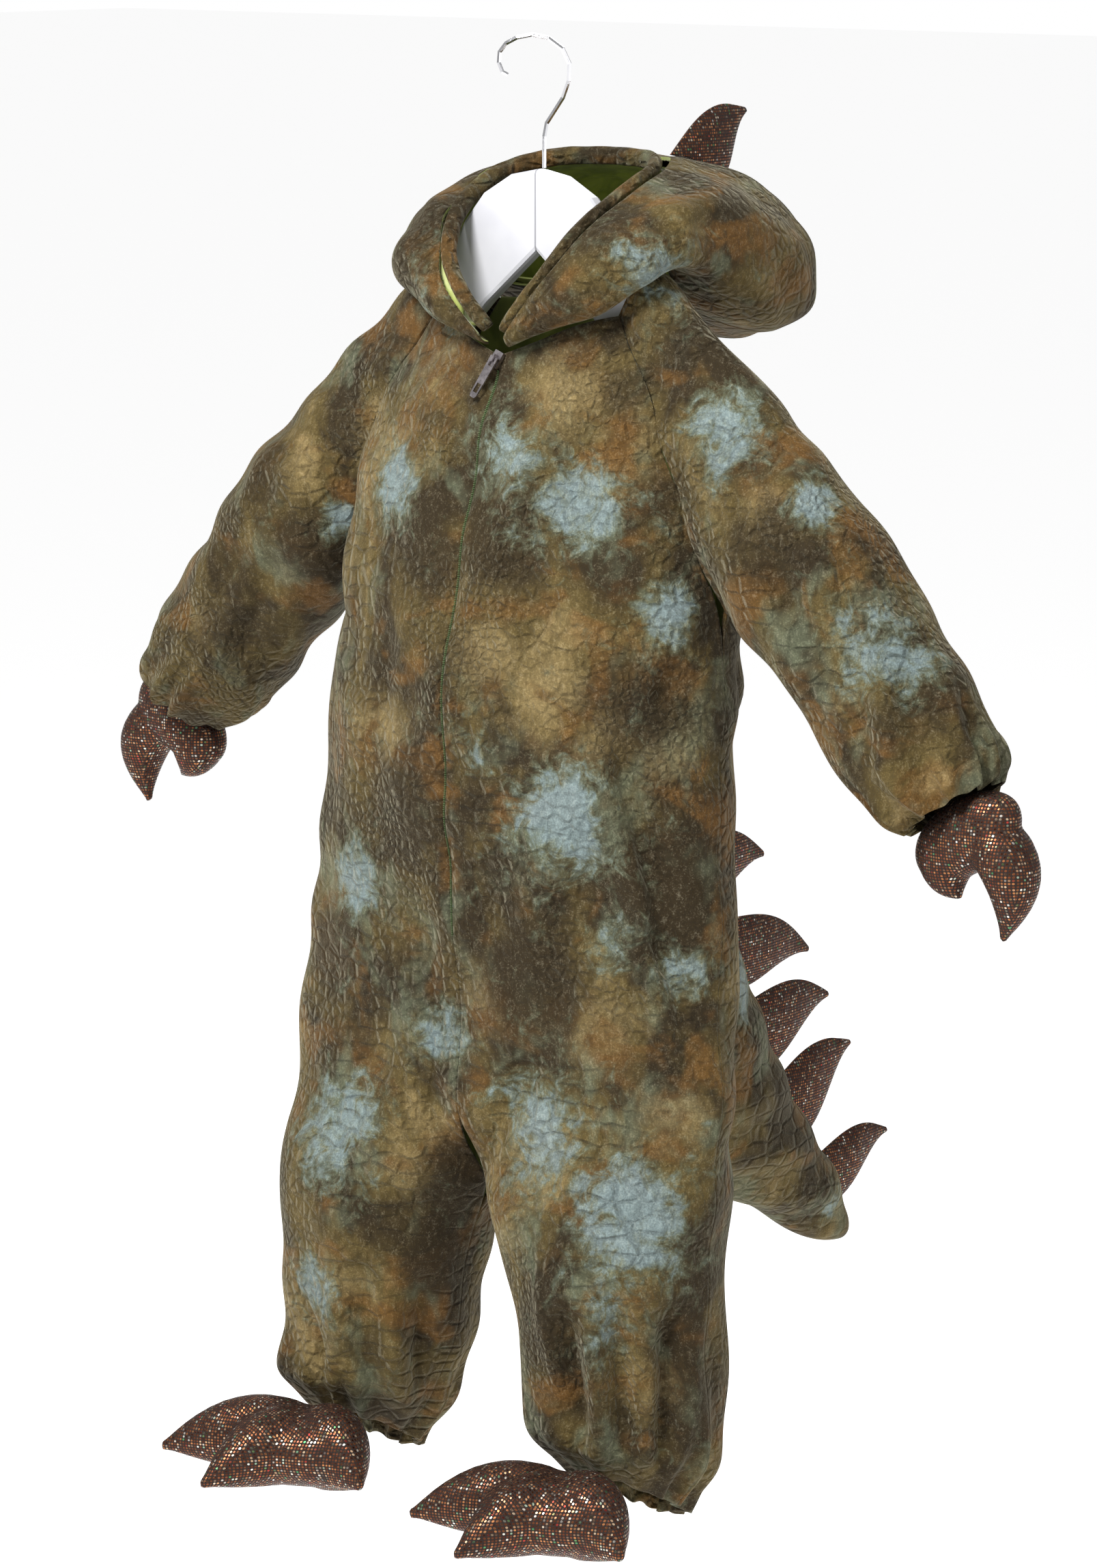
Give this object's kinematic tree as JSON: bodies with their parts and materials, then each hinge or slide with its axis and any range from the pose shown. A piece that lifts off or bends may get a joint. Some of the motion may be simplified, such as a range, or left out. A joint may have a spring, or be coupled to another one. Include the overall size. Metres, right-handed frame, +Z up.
{
  "type": "dinosaur costume on a coat hanger",
  "caption": "Toddler's hooded plush dinosaur costume with tail, back plates, claw mitts and foot covers, filled out on a white coat hanger.",
  "frame": {"origin": "inside top of the hanger's hook, where a rail carries it", "axes": "+Z up, the costume faces -Y, the wearer's left is +X"},
  "size_m": [0.7868, 0.5893, 0.9713],
  "materials": {
    "plush": "embossed plush, mottled brown and olive",
    "satin_lining": "satin",
    "foil_cloth": "brown cloth with small foil dots",
    "white_gloss": "white gloss paint",
    "chrome": "polished",
    "zip_metal": "dark plated"
  },
  "bodies": {
    "costume": {"front_left": "plush", "front_right": "plush", "back_left": "plush", "back_right": "plush", "sleeve_left": "plush", "sleeve_right": "plush", "hood_left": "plush", "hood_centre": "plush", "hood_right": "plush", "hood_casing": "plush", "hood_lining": "satin_lining", "tail": "plush", "plate_hood_top": "foil_cloth", "plate_hood_back": "foil_cloth", "plate_back_upper": "foil_cloth", "plate_back_middle": "foil_cloth", "plate_back_lower": "foil_cloth", "plate_seat": "foil_cloth", "plate_tail_first": "foil_cloth", "plate_tail_second": "foil_cloth", "plate_tail_third": "foil_cloth", "plate_tail_last": "foil_cloth", "mitt_left": "foil_cloth", "mitt_right": "foil_cloth", "foot_left": "foil_cloth", "foot_right": "foil_cloth", "hanger_wood": "white_gloss", "hanger_hook": "chrome", "zip_slider": "zip_metal"},
    "pull_tab": {"zip_pull": "zip_metal"}
  },
  "joints": [
    {"name": "pull_tab_hinge", "type": "hinge", "parent": "costume", "child": "pull_tab", "pos_m": [0, -0.03805, -0.2044], "axis": [-0.9397, 0.1307, 0.3161], "range_deg": [0, 140]}
  ]
}
